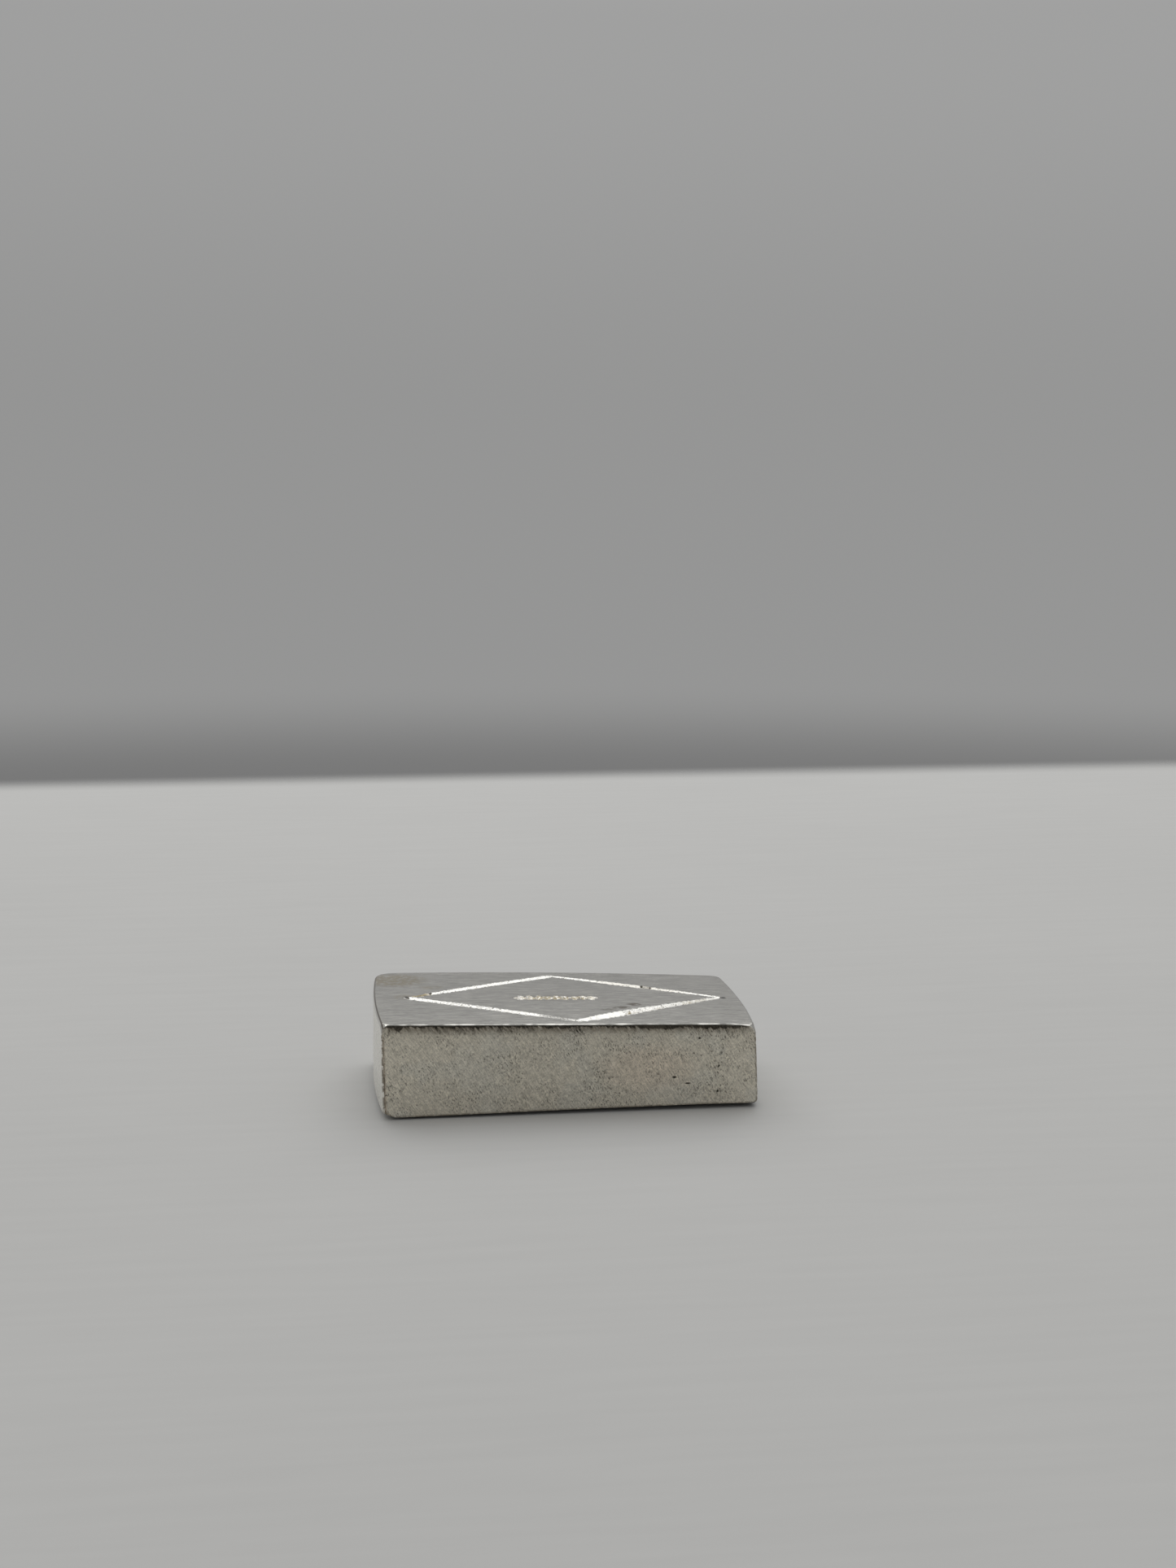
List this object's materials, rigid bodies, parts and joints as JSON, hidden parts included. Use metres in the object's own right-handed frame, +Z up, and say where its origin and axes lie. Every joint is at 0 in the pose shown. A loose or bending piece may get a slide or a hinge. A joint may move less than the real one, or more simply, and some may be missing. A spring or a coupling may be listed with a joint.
{
  "type": "metal ingot",
  "caption": "Small wedge-shaped silver ingot with crowned ends, a sawn side and a rhombus of V-grooves cut into its flat top face.",
  "frame": {"origin": "on the floor, under the middle of the bar's footprint", "axes": "+X along the bar towards its thin end, -Y out of the sawn side, +Z up out of the engraved top face"},
  "size_m": [0.042, 0.0236, 0.0106],
  "materials": {
    "silver": "fine silver: brushed top face, rough sawn front side, satin cast ends, bright V-cut grooves"
  },
  "bodies": {
    "root": {"ingot": "silver"}
  },
  "joints": []
}
